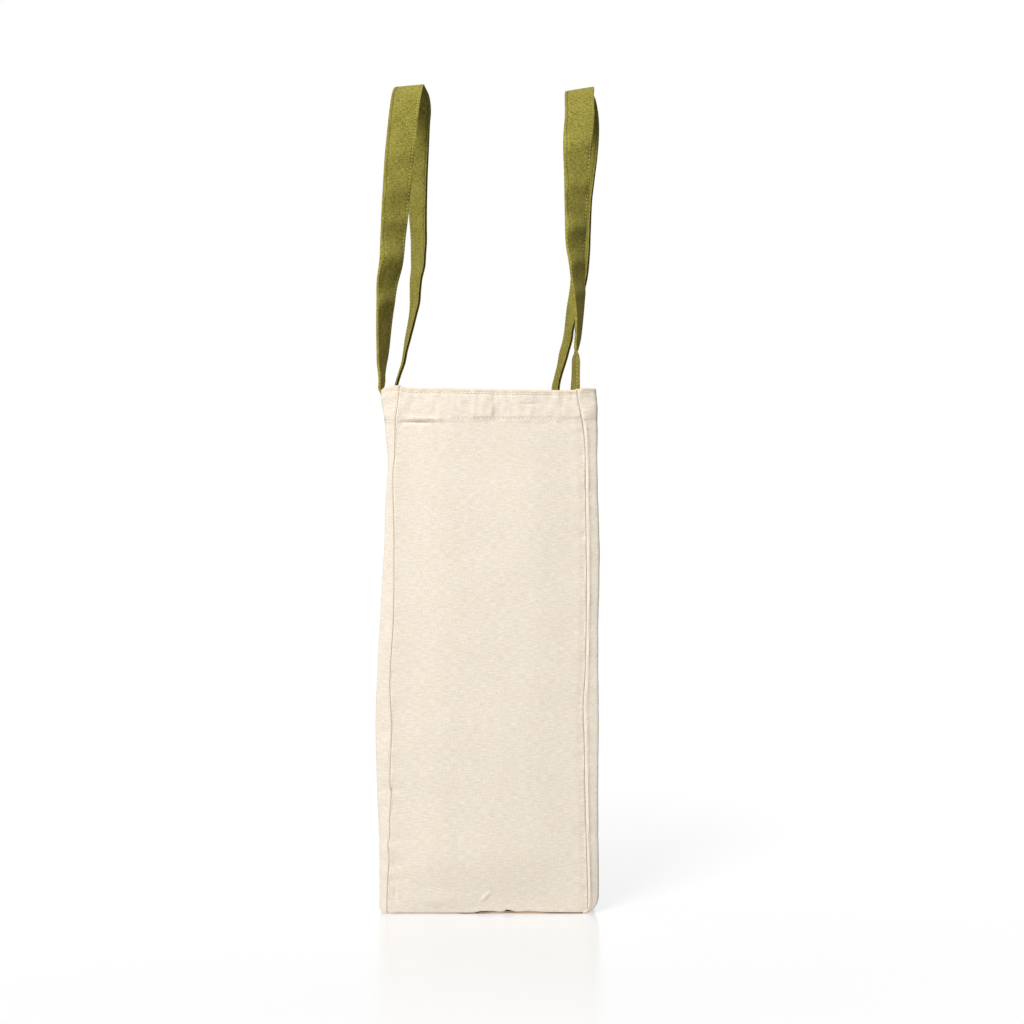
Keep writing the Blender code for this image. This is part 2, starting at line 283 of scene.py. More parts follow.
# The heights of the short creases across the turned edges, at the front (-1) or the back (1)
STRIP_CREASES = [(0.1845, 1), (0.1581, 1), (0.1488, 1), (0.0602, 1), (0.1390, -1), (0.0975, -1), (0.0571, -1)]


def smoothstep(t):
    t = min(max(t, 0.0), 1.0)
    return t * t * (3 - 2 * t)


def mix(a, b, t):
    return a + (b - a) * t


def bump(t):
    """A soft hump: one at 0, and nought from 1 away."""
    return smoothstep(1 - abs(t))


def ridge(distance, reach):
    """A narrow ridge: one at no distance, and nearly nought from twice its reach."""
    return math.exp(-((distance / reach) ** 2))


def through(stations, at):
    """A smooth curve through (place, value) stations, read at a place."""
    if at <= stations[0][0]:
        return stations[0][1]
    for i in range(len(stations) - 1):
        here, value = stations[i]
        there, next_value = stations[i + 1]
        if at <= there:
            before, value_before = stations[max(i - 1, 0)]
            after, value_after = stations[min(i + 2, len(stations) - 1)]
            slope = (next_value - value_before) / (there - before)
            next_slope = (value_after - value) / (after - here)
            span = there - here
            t = (at - here) / span
            lifted = (1 + 2 * t) * (1 - t) ** 2 * value + t * (1 - t) ** 2 * span * slope
            return lifted + t * t * (3 - 2 * t) * next_value + t * t * (t - 1) * span * next_slope
    return stations[-1][1]


def soft_noise(x, y, size, seed):
    """Smooth unevenness from -1 to 1, in lumps of a size."""
    return noise.noise(Vector((x / size, y / size, seed * 7.31)))


def spread(start, *stretches):
    """Places along a cut, from its start on. Each stretch is (where it ends, number of steps)."""
    places = [start]
    for last, count in stretches:
        places += [mix(start, last, i / count) for i in range(1, count + 1)]
        start = last
    return places


def both_ways(places):
    """Places from 0 up, and the same ones below 0."""
    return [-place for place in reversed(places[1:])] + places


def fold(past, radius, angle):
    """(how far on, how far in) the cloth lies, a length past the start of a fold of a radius and an angle."""
    turned = min(max(past, 0.0) / radius, angle)
    rest = max(past - radius * angle, 0.0)
    on = radius * math.sin(turned) + rest * math.cos(angle)
    return on, radius * (1 - math.cos(turned)) + rest * math.sin(angle)


def corner_profile(end, side, z):
    """(edge, seam) distances from the middle plane at a corner: end is the gusset's sign, side the panel's."""
    if end * side < 0:
        return through(FRONT_EDGE, z), through(FRONT_SEAM, z)
    return through(BACK_EDGE, z), through(BACK_SEAM, z)


def edge_reach(end, side, z):
    """How far back along x a corner's soft edge lies."""
    return EDGE_TURN if end * side < 0 else EDGE_TURN * through(BACK_EDGE_REACH, z)


def panel_distance(x, z, side):
    """How far a wide panel's outer face stands from the middle plane."""
    edge = corner_profile(1 if x > 0 else -1, side, z)[0]
    toward_corner = smoothstep((abs(x) - PANEL_MIDDLE) / (FLAT_REACH - PANEL_MIDDLE))
    if side < 0:
        middle = through(FRONT_MIDDLE, z) - 0.0026 * smoothstep(-x / 0.075) * smoothstep((z - 0.30) / 0.10)
        across = mix(middle, edge, toward_corner)
    else:
        up = smoothstep((z - RIM_HEIGHT + BOW_REACH) / BOW_REACH)
        across = mix(0.0850, edge, toward_corner) - through(BACK_BOW, x) * up
    free = (1 - toward_corner) * smoothstep(z / 0.06) * (1 - 0.7 * smoothstep((z - 0.34) / 0.06))
    billow = 0.0016 * soft_noise(x, z, 0.12, side) + 0.0007 * soft_noise(x, z, 0.045, side + 3)
    return across + free * billow


def rim_lift(x, y):
    """How far the rim stands above its plain height, at a place along it."""
    wave = 0.0006 * soft_noise(x, y, 0.05, 11)
    sunk = -0.0040 * bump((abs(x) - 0.160) / 0.05) if y * x < 0 else 0.0
    return wave + mix(sunk, through(NEAR_RIM, y if x > 0 else -y), smoothstep((abs(x) - 0.152) / 0.018))


def base_lift(x, y):
    """How far the base's edge under a gusset is drawn up off the table."""
    return smoothstep((abs(x) - 0.140) / 0.030) * through(BASE_HEM, y if x > 0 else -y)


def seam_pucker(run, away):
    """The small gathers that a seam draws in the cloth beside it: run along the seam, away from it."""
    fades = math.exp(-away / 0.007)
    return fades * (0.0007 * soft_noise(run, 0, 0.006, 21) + 0.0010 * soft_noise(run, 0, 0.019, 22))


def below_hem(z):
    """1 up to the hem and 0 in it, where a seam lies flatter."""
    return 1 - smoothstep((z - HEM_FOOT) / 0.012)


def hem_relief(run, z):
    """How far the cloth stands in at the rim's two stitched rows, and how it gathers between them."""
    sunk = 0.0
    for row, depth in ((HEM_TOP_ROW, 0.00040), (HEM_LOW_ROW, 0.00050)):
        sunk += depth * ridge(z - row, 0.0010) * (0.8 + 0.5 * soft_noise(run, row, 0.004, 31))
    folded = smoothstep((z - (HEM_LOW_ROW - 0.0030)) / 0.0022)
    band = smoothstep((z - 0.374) / 0.010)
    drawn = 0.0006 * soft_noise(run, z * 0.50, 0.0050, 32) + 0.0005 * soft_noise(run, z * 0.35, 0.014, 33)
    return sunk - 0.0004 * folded + band * drawn


def hem_painted_shade(height):
    """Painted shade on the rim's folded edge and along its two stitched rows."""
    # Painted shade on the folded edge, and along each stitched row.
    edge = 0.34 * smoothstep((height - 0.4052) / 0.0012)
    return max(edge, *(0.22 * ridge(height - row, 0.0006) for row in (HEM_TOP_ROW, HEM_LOW_ROW)))


def across_body(u, edge_x):
    """(x, share of the way to the seam, how far into it, angle turned) at a flat place across the body.

    edge_x is the soft edge's reach along x. There the cloth turns by most of a right angle. It then lies
    nearly flat as far as the seam, where it curls in.
    """
    past = abs(u) - FLAT_REACH
    share = min(max(past / TURN_LENGTH, 0.0), 1.0)
    turned = EDGE_TURN_ANGLE * min(share / TURN_SHARE, 1.0)
    flat = max(share - TURN_SHARE, 0.0) / (1 - TURN_SHARE)
    reach = mix(TURN_ALONG * math.sin(turned) / math.sin(EDGE_TURN_ANGLE), 1.0, flat)
    into = mix(TURN_DEPTH * (1 - math.cos(turned)) / (1 - math.cos(EDGE_TURN_ANGLE)), 1.0, flat)
    into_seam, back = fold(past - TURN_LENGTH, SEAM_CURL, math.pi / 2)
    x = (HALF_WIDTH - edge_x) * min(abs(u) / FLAT_REACH, 1.0) + edge_x * reach - back
    return math.copysign(x, u), into, into_seam, turned


def base_corner(x, end, side):
    """The turn from the base up a panel: (radius, radius at the seam, panel's foot, depth to the seam)."""
    turn = mix(FRONT_CORNER_TURN, BACK_CORNER_TURN, (end * side * x / HALF_WIDTH + 1) / 2)
    edge, seam = corner_profile(end, side, turn)
    foot = mix(panel_distance(x, turn, side), edge, smoothstep((x - FLAT_REACH * 0.9) / (FLAT_REACH * 0.1)))
    depth = edge - seam - SEAM_HOLD
    return turn, max(turn - depth, 0.0015), foot, depth


def body_place(u, v):
    """Where a flat place on the body's canvas is sewn: u across it, v along it from the middle of the base."""
    side = 1 if v > 0 else -1
    end = 1 if u > 0 else -1
    along = abs(v)
    angle = min(max(along - BASE_REACH, 0.0) / BASE_TURN, math.pi / 2)
    lip = mix(BASE_LIP, EDGE_TURN, smoothstep(angle / (math.pi / 2)))
    x, into, into_seam, turned = across_body(u, lip)
    turn, seam_turn, foot, depth = base_corner(min(abs(x), FLAT_REACH), end, side)
    if along <= WALL_FOOT:
        outer = Vector((foot - turn * (1 - math.sin(angle)), turn * (1 - math.cos(angle))))
        inner = Vector((
            foot - depth - seam_turn * (1 - math.sin(angle)), BASE_LIP + seam_turn * (1 - math.cos(angle)),
        ))
        y, z = outer.lerp(inner, into) + (inner - outer).normalized() * into_seam
        y *= side * min(along / BASE_REACH, 1.0)
        return x, y, z + BASE_FOLLOW * base_lift(x, y)
    above, rolled = fold(along - WALL_TOP, RIM_ROLL, math.pi)
    start = mix(turn, BASE_LIP + seam_turn, into)
    z = mix(start, RIM_HEIGHT - RIM_ROLL, min((along - WALL_FOOT) / WALL_LENGTH, 1.0))
    level = min(z + above, RIM_HEIGHT)
    edge, seam = corner_profile(end, side, level)
    x, into, into_seam, turned = across_body(u, edge_reach(end, side, z))
    stands = panel_distance(x, level, side) if abs(u) <= FLAT_REACH else edge
    away = max(SEAM_REACH - abs(u), 0.0)
    inward = rolled
    if along <= WALL_TOP:
        under_strap = 1 - bump((abs(u) - HANDLE_REACH) / 0.020) * smoothstep((z - 0.362) / 0.01)
        by_seam = 1 - 0.6 * smoothstep((0.004 - away) / 0.004)
        inward += hem_relief(x + 0.5 * side, z) * under_strap * by_seam
        if not into_seam:
            creases = sum(0.0007 * ridge(z - height, 0.0016) for height, at in STRIP_CREASES if at == side)
            inward += creases * math.exp(-away / 0.010) - seam_pucker(z + end * 0.7 + side * 0.3, away)
        if end * side > 0:
            inward -= SEAM_BEAD * bump((away - 0.0008) / 0.0024) * below_hem(z)
    inset = (edge - seam - SEAM_HOLD) * into + into_seam
    y = side * (stands - inset - inward * math.cos(turned))
    x -= end * (rolled if into_seam else inward * math.sin(turned))
    z += above
    lift = BASE_FOLLOW * base_lift(x, y) * (1 - smoothstep(z / 0.03))
    return x, y, z + lift + rim_lift(x, y) * smoothstep((z - RIM_WAVE_FROM) / 0.02)


def body_painted_shade(u, v):
    """How much painted shade a place on the body's canvas gets: in its seams, on its hem, and under the base's
    edge, where it runs past 1 into a darker painted shadow.
    """
    height = abs(v) - WALL_FOOT + BASE_TURN
    # Painted shade in the seam's curl.
    seam = 0.35 * smoothstep(1 - (SEAM_REACH + CURL_LENGTH - abs(u)) / 0.0007) if u * v < 0 else 0.0
    seam *= smoothstep((0.3950 - height) / 0.006) * smoothstep((height - 0.004) / 0.006)
    seam *= 1 - 0.8 * smoothstep((height - 0.21) / 0.05)
    # Painted shadow on the base's lip, under the gusset's foot.
    under = smoothstep((abs(u) - FLAT_REACH) / 0.003) * smoothstep((BASE_REACH + 0.004 - abs(v)) / 0.004)
    return max(seam, under * through(BASE_SHADE, v if u > 0 else -v), hem_painted_shade(height))


def lay_cloth(name, across, along, place, shade, cut=lambda u, v: (u, v)):
    """A flat grid of cloth, with lines at places across and along it, taken to where it is sewn.

    Its UV map holds the flat cut in metres, so that the weave follows the cloth. The attribute tuck is how
    much painted shade a point gets: a warmer, deeper colour for the shade that falls in folds and seams,
    and past 1 a dark painted shadow.
    """
    bpy.ops.object.select_all(action="DESELECT")
    columns = len(across) - 1
    rows = len(along) - 1
    bpy.ops.mesh.primitive_grid_add(x_subdivisions=columns, y_subdivisions=rows, size=1, location=(0, 0, 0))
    cloth = bpy.context.object
    cloth.name = name
    mesh = cloth.data
    flat = []
    for vertex in mesh.vertices:
        u = across[round((vertex.co.x + 0.5) * columns)]
        v = along[round((vertex.co.y + 0.5) * rows)]
        flat.append((u, v))
    tuck = mesh.attributes.new("tuck", "FLOAT", "POINT")
    tuck.data.foreach_set("value", [shade(u, v) for u, v in flat])
    sewn = np.array([place(u, v) for u, v in flat], np.float32)
    mesh.vertices.foreach_set("co", sewn.ravel())
    corners = np.zeros(len(mesh.loops), np.int64)
    mesh.loops.foreach_get("vertex_index", corners)
    laid = np.array([cut(u, v) for u, v in flat], np.float32)
    mesh.uv_layers[0].name = "cloth"
    mesh.uv_layers[0].data.foreach_set("uv", laid[corners].ravel())
    mesh.update()
    return cloth


def thicken(cloth, thickness, faces_out):
    """Gives the cloth its thickness on its inner side. faces_out says whether its grid faces outwards."""
    bpy.ops.object.select_all(action="DESELECT")
    cloth.select_set(True)
    bpy.context.view_layer.objects.active = cloth
    if not faces_out:
        bpy.ops.object.mode_set(mode="EDIT")
        bpy.ops.mesh.select_all(action="SELECT")
        bpy.ops.mesh.flip_normals()
        bpy.ops.object.mode_set(mode="OBJECT")
    bpy.ops.object.modifier_add(type="SOLIDIFY")
    wall = cloth.modifiers[-1]
    wall.thickness = thickness
    wall.offset = -1
    wall.use_even_offset = False
    bpy.ops.object.modifier_apply(modifier=wall.name)
    bpy.ops.object.shade_smooth_by_angle(angle=math.radians(50))


half_across = spread(
    0, (FLAT_REACH, 54), (SEAM_REACH, 10), (SEAM_REACH + CURL_LENGTH, 4),
    (SEAM_REACH + CURL_LENGTH + ALLOWANCE, 2),
)
half_along = spread(
    0, (BASE_REACH, 9), (WALL_FOOT, 8), (WALL_TOP - 0.032, 92), (WALL_TOP, 28), (WALL_TOP + ROLL_LENGTH, 6),
    (WALL_TOP + ROLL_LENGTH + RIM_FOLD_LENGTH, 2),
)
body = lay_cloth("body_canvas", both_ways(half_across), both_ways(half_along), body_place, body_painted_shade)
thicken(body, CANVAS_THICKNESS, False)


def noise_over(flat, stretch, detail=2.0):
    """Noise from 0 to 1 over the flat cloth, with so many lumps a metre across and along it."""
    feeds = {0: flat, 1: (*stretch, 1.0)}
    stretched = flat.finish.node("ShaderNodeVectorMath", {"operation": "MULTIPLY"}, feeds)
    feeds = {"Vector": stretched, "Scale": 1.0, "Detail": detail}
    return flat.finish.node("ShaderNodeTexNoise", {"noise_dimensions": "2D"}, feeds)


def tinted(first, second, share):
    """A colour between two, by a share."""
    return share.finish.node("ShaderNodeMix", {"data_type": "RGBA"}, {0: share, 6: first, 7: second}, out=2)


def plain_weave(flat, pitch, wander):
    """How high the yarns of a plain weave stand, from 0 to 1. They have a pitch, and wander a little."""
    u = flat.finish.node("ShaderNodeSeparateXYZ", {}, {0: flat})
    drift = (noise_over(flat, (90, 35)) - 0.5) * wander
    sway = (noise_over(flat, (35, 90)) - 0.5) * wander
    warp = ((u + drift) * (math.pi / pitch)).wave()
    weft = ((u.beside(1) + sway) * (math.pi / pitch)).wave()
    on_top = warp * weft > 0.0
    height = on_top * warp.size() * (0.55 + 0.45 * weft.size())
    return height + (1 - on_top) * weft.size() * (0.55 + 0.45 * warp.size())


def natural_canvas():
    """Undyed cotton canvas: a plain weave of uneven yarns, slubbed across, with a rare fleck of seed, and
    painted shade in its hollows and folds.
    """
    finish = Finish(bpy.data.materials.new("natural_canvas"), "Principled BSDF")
    flat = finish.node("ShaderNodeUVMap", {"uv_map": "cloth"}, {})
    height = plain_weave(flat, 0.00090, 0.0012)
    slub = noise_over(flat, (170, 1150))
    upright = noise_over(flat, (1050, 240))
    grain = noise_over(flat, (900, 850))
    cloudy = noise_over(flat, (24, 38), 3.0)
    lightness = 0.5 + (slub - 0.5) * 2.0 + (upright - 0.5) * 1.0 + (grain - 0.5) * 1.3
    # The weave's height paints its hollows a little darker, as shade.
    lightness = (lightness + (height - 0.6) * 0.25 + (cloudy - 0.5) * 0.30).held()
    colour = tinted((0.830, 0.725, 0.588, 1), (0.955, 0.875, 0.758, 1), lightness)
    fleck = ((noise_over(flat, (470, 360), 1.0) - 0.80) * 14.0).held() * 0.45
    colour = tinted(colour, (0.50, 0.38, 0.24, 1), fleck)
    # Painted shade from the tuck attribute: a warm, deeper colour in folds, seams and hem rows, and past 1 a
    # near-black painted shadow under the base's edge.
    tuck = finish.node("ShaderNodeAttribute", {"attribute_name": "tuck"}, {}, out="Fac")
    colour = tinted(colour, (0.76, 0.53, 0.35, 1), tuck)
    colour = tinted(colour, (0.10, 0.06, 0.04, 1), (tuck - 1.0).held())
    relief = height * 0.5 + slub * 0.6 + grain * 0.5
    raised = finish.node("ShaderNodeBump", {}, {"Strength": 0.5, "Distance": 0.00035, "Height": relief})
    feeds = {"Base Color": colour, "Roughness": 0.92, "Specular IOR Level": 0.15, "Normal": raised}
    finish.feed(finish.shader, feeds)
    return finish.owner


canvas = natural_canvas()
body.data.materials.append(canvas)
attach(body, "bag")
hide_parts("body_panel")


# The gussets
# Each narrow side is a flat panel of the same canvas, sewn to the body's edges with its own edges turned in,
# and folded over at the rim like the body. It bellies out a little, and gathers along its seams and its hem.

GUSSET_HALF = 0.075
GUSSET_TOP = RIM_HEIGHT - RIM_ROLL
GUSSET_BELLY = 0.0026
GUSSET_SEAM_GAP = 0.00003
GUSSET_FOOT = 0.0014
CORNER_PULL = 0.3
# Where the facing's two ends lap behind the near gusset's hem, and where that hem is pinched
LAP_FROM = -0.0140
LAP_TO = 0.0035
LAP_FOOT = 0.3840
PINCH_Y = 0.032
PINCH_Z = 0.3967


def gusset_crease(y, z):
    """The few creases that the near gusset shows, as a distance inwards."""
    sag = z + 0.03 * (y + 0.056)
    slack_fold = bump((y + 0.056) / 0.018) * ridge(sag - 0.3815, 0.0010)
    slack_fold -= 0.8 * bump((y + 0.048) / 0.028) * ridge(sag - 0.3845, 0.0014)
    along = (y + 0.0066) + (z - 0.0066)
    beside = (y + 0.0066) - (z - 0.0066) * 0.8
    diagonal = bump((along - 0.010) / 0.012) * ridge(beside, 0.0016)
    corner = bump((z - 0.0140) / 0.010) * ridge(y + 0.0727, 0.0012)
    foot_band = 0.6 * ridge(z - 0.0095, 0.006) * bump((y + 0.040) / 0.03)
    pulls = 0.0005 * bump((y - PINCH_Y) / 0.014) * ridge(z - PINCH_Z, 0.0008)
    for height, low, high in ((0.0968, -0.0760, -0.0600), (0.0585, -0.0770, -0.0640)):
        pulls += 0.0005 * smoothstep((high - y) / (high - low)) * ridge(z - height + 0.08 * (y - low), 0.0012)
    for edge in (LAP_FROM - 0.0003, LAP_TO + 0.0004):
        pressed = smoothstep((z - LAP_FOOT) / 0.003) * (0.7 + 0.5 * soft_noise(edge, z, 0.005, 47))
        pulls += 0.00065 * pressed * ridge(y - edge, 0.0008)
    return 0.0011 * slack_fold - 0.0009 * diagonal + 0.0006 * corner - 0.0011 * foot_band + pulls


def gusset_seam(end, side, z):
    """Where the gusset meets the seam: further in where the seam turns the corner at the base."""
    seam_turn = base_corner(FLAT_REACH, end, side)[1]
    short = max(seam_turn - z, 0.0)
    pull = CORNER_PULL * (seam_turn - math.sqrt(max(seam_turn ** 2 - short ** 2, 0.0)))
    return side * (corner_profile(end, side, z)[1] - SEAM_CURL - GUSSET_SEAM_GAP - pull)


def gusset_place_at(end):
    """The sewing of the gusset at one end, as a function from flat places to sewn ones.

    A flat place is p across it, from -1 to 1 between its seams, and v up it.
    """
    def place(p, v):
        curl, tuck = fold((abs(p) - 1) * GUSSET_HALF, SEAM_CURL, math.pi / 2)
        under, foot_tuck = fold(-v, SEAM_CURL, math.pi / 2)
        above, rolled = fold(v - GUSSET_TOP, RIM_ROLL, math.pi)
        z = min(max(v, 0.0), GUSSET_TOP) + above
        low = gusset_seam(end, -1, z)
        high = gusset_seam(end, 1, z)
        y = mix(low, high, (min(max(p, -1.0), 1.0) + 1) / 2) + math.copysign(curl, p)
        away = min(y - low, high - y)
        belly = 0.0
        relief = 0.0
        if abs(p) <= 1:
            belly = GUSSET_BELLY * smoothstep(away / 0.045) * smoothstep(z / 0.05)
            belly += 0.0008 * soft_noise(y, z, 0.055, 41 + end) * smoothstep(away / 0.02)
            relief = hem_relief(y + 0.4 * end, z) if rolled == 0 else 0.0
            relief -= seam_pucker(z + 0.7 * end + (0.3 if y > 0 else -0.3), max(away, 0.0)) * 0.7
            if end > 0:
                lapped = smoothstep((y - LAP_FROM) / 0.0014) * (1 - smoothstep((y - LAP_TO) / 0.0014))
                relief -= 0.0006 * lapped * smoothstep((z - HEM_LOW_ROW + 0.002) / 0.006)
                relief += gusset_crease(y, z)
        if p * end > 0:
            belly -= SEAM_BEAD * smoothstep(1 - away / 0.006) * below_hem(z)
        run = y if end > 0 else -y
        foot = GUSSET_FOOT * (1 - 0.2 * smoothstep((abs(run) - 0.068) / 0.007)) + through(BASE_HEM, run)
        x = HALF_WIDTH + belly - relief - rolled - tuck - foot_tuck
        z += mix(foot, 0.0, smoothstep(z / 0.03)) - under
        z += rim_lift(end * HALF_WIDTH, y) * smoothstep((z - RIM_WAVE_FROM) / 0.02)
        return end * x, y, z

    return place


def gusset_painted_shade_at(end):
    """How much painted shade a flat place on the gusset at one end gets, as a function: in its seams, creases,
    laps, pinch and hem, and a painted shadow along its foot.
    """
    def shade(p, v):
        run = end * p * 0.0735
        # Painted shade in the seam's curl.
        seam = smoothstep(1 - (1 + curl_share - abs(p)) * GUSSET_HALF / 0.0007)
        if run > 0:
            seam *= smoothstep((0.4010 - v) / 0.006)
            seam *= 0.05 + 0.75 * smoothstep((v - 0.375) / 0.012) + 0.6 * smoothstep((0.060 - v) / 0.02)
        else:
            seam *= 0.20 * smoothstep((0.3950 - v) / 0.006) * (1 - 0.8 * smoothstep((v - 0.21) / 0.05))
        # Painted shadow along the gusset's foot, darker past 1.
        foot = smoothstep((-v - 0.0003) / 0.0005) * through(BASE_SHADE, run)
        # Painted shade in the slack fold, at the lap's edges and in the pinch.
        slack_fold = lap = pinch = 0.0
        if end > 0:
            slack_fold = 0.75 * smoothstep((run + 0.0720) / 0.004) * smoothstep((-0.034 - run) / 0.022)
            slack_fold *= ridge(v - 0.3819 + 0.03 * (run + 0.056), 0.0007)
            lap = max(ridge(run - edge, 0.0008) for edge in (LAP_FROM, LAP_TO))
            lap *= 0.42 * smoothstep((v - LAP_FOOT) / 0.003)
            pinch = 0.28 * bump((run - PINCH_Y) / 0.014) * ridge(v - PINCH_Z, 0.0006)
        return max(seam, foot, slack_fold, lap, pinch, hem_painted_shade(v))

    return shade


curl_share = CURL_LENGTH / GUSSET_HALF
tuck_share = (CURL_LENGTH + ALLOWANCE) / GUSSET_HALF
gusset_half = spread(0, (0.82, 46), (1, 13), (1 + curl_share, 4), (1 + tuck_share, 2))
gusset_along = spread(
    -ALLOWANCE - CURL_LENGTH, (-CURL_LENGTH, 2), (0, 4), (0.030, 22), (0.372, 150), (GUSSET_TOP, 42),
    (GUSSET_TOP + ROLL_LENGTH, 6), (GUSSET_TOP + ROLL_LENGTH + RIM_FOLD_LENGTH, 2),
)
for end, name in ((1, "right"), (-1, "left")):
    gusset = lay_cloth(
        f"gusset_canvas_{name}", both_ways(gusset_half), gusset_along, gusset_place_at(end),
        gusset_painted_shade_at(end), cut=lambda p, v: (p * GUSSET_HALF + 3 * end, v),
    )
    thicken(gusset, CANVAS_THICKNESS, end > 0)
    gusset.data.materials.append(canvas)
    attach(gusset, "bag")
    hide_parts(f"gusset_{name}")


# The rim's facing band
# A straight band of the canvas runs round the inside of the rim. Its top edge is turned under, its ends are
# lapped on the near gusset, and the two rows round the rim are sewn through it.

FACING_THICKNESS = CANVAS_THICKNESS * 0.9
FACING_TOP = 0.4064
FACING_FOOT = 0.3815
FACING_ROLL = 0.0007
FACING_GAP = 0.0002
INNER_WALL = 2 * RIM_ROLL + FACING_GAP
CORNER_FROM = 0.155
SEAM_CLEAR = 0.0110
LAP_STEP = 0.0018
# The stretches round the rim from the near gusset's lap: what it passes, and the signs of its end and side
FACING_ROUND = [
    ("gusset", 1, 0), ("corner", 1, 1), ("panel", 0, 1), ("corner", -1, 1), ("gusset", -1, 0),
    ("corner", -1, -1), ("panel", 0, -1), ("corner", 1, -1), ("gusset", 1, 0),
]


def inner_corner(end, side, z, t):
    """The band's way past the seam allowances at a corner, from the panel at 0 to the gusset at 1."""
    seam = corner_profile(end, side, z)[1]
    panel = panel_distance(end * CORNER_FROM, z, side) - INNER_WALL
    stations = [
        (0.00, CORNER_FROM, panel), (0.25, 0.1610, panel - 0.0022), (0.50, 0.1632, seam - 0.0008),
        (0.72, 0.1660, seam - 0.0046), (1.00, HALF_WIDTH - INNER_WALL, seam - SEAM_CLEAR),
    ]
    return end * through([s[:2] for s in stations], t), side * through([s[::2] for s in stations], t)


def facing_place(w, v):
    """Where the flat band is sewn: w is 0 to 9 round the rim, one for each stretch, and v is the height."""
    above, rolled = fold(v - FACING_TOP, FACING_ROLL, math.pi)
    z = min(v, FACING_TOP) + above
    layer = 2 * FACING_ROLL - rolled
    stretch = min(max(math.ceil(w) - 1, 0), 8)
    passes, end, side = FACING_ROUND[stretch]
    t = w - stretch
    if passes == "corner":
        x, y = inner_corner(end, side, z, t if end * side < 0 else 1 - t)
        x -= end * layer * 0.8
        y -= side * layer * 0.5
    elif passes == "panel":
        x = side * mix(CORNER_FROM, -CORNER_FROM, t)
        y = side * (panel_distance(x, z, side) - INNER_WALL - layer)
    else:
        back = corner_profile(end, 1, z)[1] - SEAM_CLEAR
        front = SEAM_CLEAR - corner_profile(end, -1, z)[1]
        start, finish = ((LAP_FROM, back), (back, front), (front, LAP_TO))[stretch // 4]
        y = mix(start, finish, t)
        reach = HALF_WIDTH - INNER_WALL + GUSSET_BELLY * 0.8 * smoothstep((0.066 - abs(y)) / 0.045)
        x = end * (reach - (layer + LAP_STEP * smoothstep((w - 8.0) / 0.5)))
    z += rim_lift(x * 1.02, y * 1.02) * 0.8 + 0.0003 * soft_noise(x, y, 0.02, 52)
    return x, y, z


def run_lengths(points):
    """How far along a line each of its points lies."""
    lengths = [0.0]
    for here, there in zip(points, points[1:]):
        lengths.append(lengths[-1] + (Vector(there) - Vector(here)).length)
    return lengths


band_round = spread(0, (1, 24), (2, 12), (3, 90), (4, 12), (5, 40), (6, 12), (7, 90), (8, 12), (9, 28))
roll_end = FACING_TOP + FACING_ROLL * math.pi
band_up = spread(FACING_FOOT, (FACING_TOP, 14), (roll_end, 5), (roll_end + 0.006, 3))
round_lengths = run_lengths([facing_place(w, 0.395) for w in band_round])
facing = lay_cloth(
    "facing_band", band_round, band_up, facing_place, lambda w, v: 0.0,
    cut=lambda w, v: (np.interp(w, band_round, round_lengths) + 6, v),
)
thicken(facing, FACING_THICKNESS, True)
facing.data.materials.append(canvas)
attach(facing, "bag")
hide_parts("rim_facing")


# The handles
# Each handle is one strap of olive canvas, folded in on itself and sewn along both edges. Its ends are sewn
# flat to the outside of a panel, and between them it turns on its edge and stands up as a loop.

STRAP_WIDTH = 0.025
STRAP_THICKNESS = 0.0025
STRAP_ROW = 0.0103
STRAP_CROWN = 0.00012
FOLD_ROUND = 0.00052
OPEN_ROUND = 0.00036
GROOVE_DEPTH = 0.0013
GROOVE_GAP = 0.00012
STRAP_FOOT = 0.370
STRAP_GAP = 0.0003
STRAP_FREE = 0.006
END_STEPS = 27
LOOP_STEPS = 400
ARCH_STEPS = 4000

# Up from the rim: (height, distance of the strap's middle from the middle plane, degrees turned on edge)
FRONT_NEAR_LEG = [
    (0.000, -0.0886, 0), (0.0035, -0.0896, 2), (0.0126, -0.0886, 5), (0.0184, -0.0888, 6),
    (0.0267, -0.0888, 11.5), (0.0375, -0.0880, 16.8), (0.0575, -0.0871, 23), (0.0774, -0.0859, 29.7),
    (0.0943, -0.0845, 37), (0.112, -0.0814, 43.9), (0.1375, -0.0796, 50.5), (0.156, -0.0783, 57),
    (0.1757, -0.0771, 60), (0.199, -0.0757, 66), (0.2163, -0.0743, 72), (0.243, -0.0722, 74),
    (0.2600, -0.0706, 79), (0.272, -0.0683, 90),
]
FRONT_FAR_LEG = [
    (0.000, -0.0872, 0), (0.005, -0.0870, 3), (0.0160, -0.0846, 6), (0.0273, -0.0813, 6.5),
    (0.0382, -0.0777, 7.5), (0.0490, -0.0757, 8), (0.0599, -0.0736, 12), (0.0708, -0.0711, 14),
    (0.0817, -0.0688, 16), (0.0926, -0.0670, 20), (0.1035, -0.0665, 22), (0.114, -0.0658, 25),
    (0.125, -0.0640, 29), (0.136, -0.0636, 31), (0.147, -0.0632, 33), (0.158, -0.0634, 34),
    (0.176, -0.0640, 38), (0.205, -0.0645, 47), (0.227, -0.0646, 58), (0.238, -0.0645, 64),
    (0.248, -0.0642, 70), (0.258, -0.0634, 76), (0.266, -0.0646, 82), (0.272, -0.0683, 90),
]
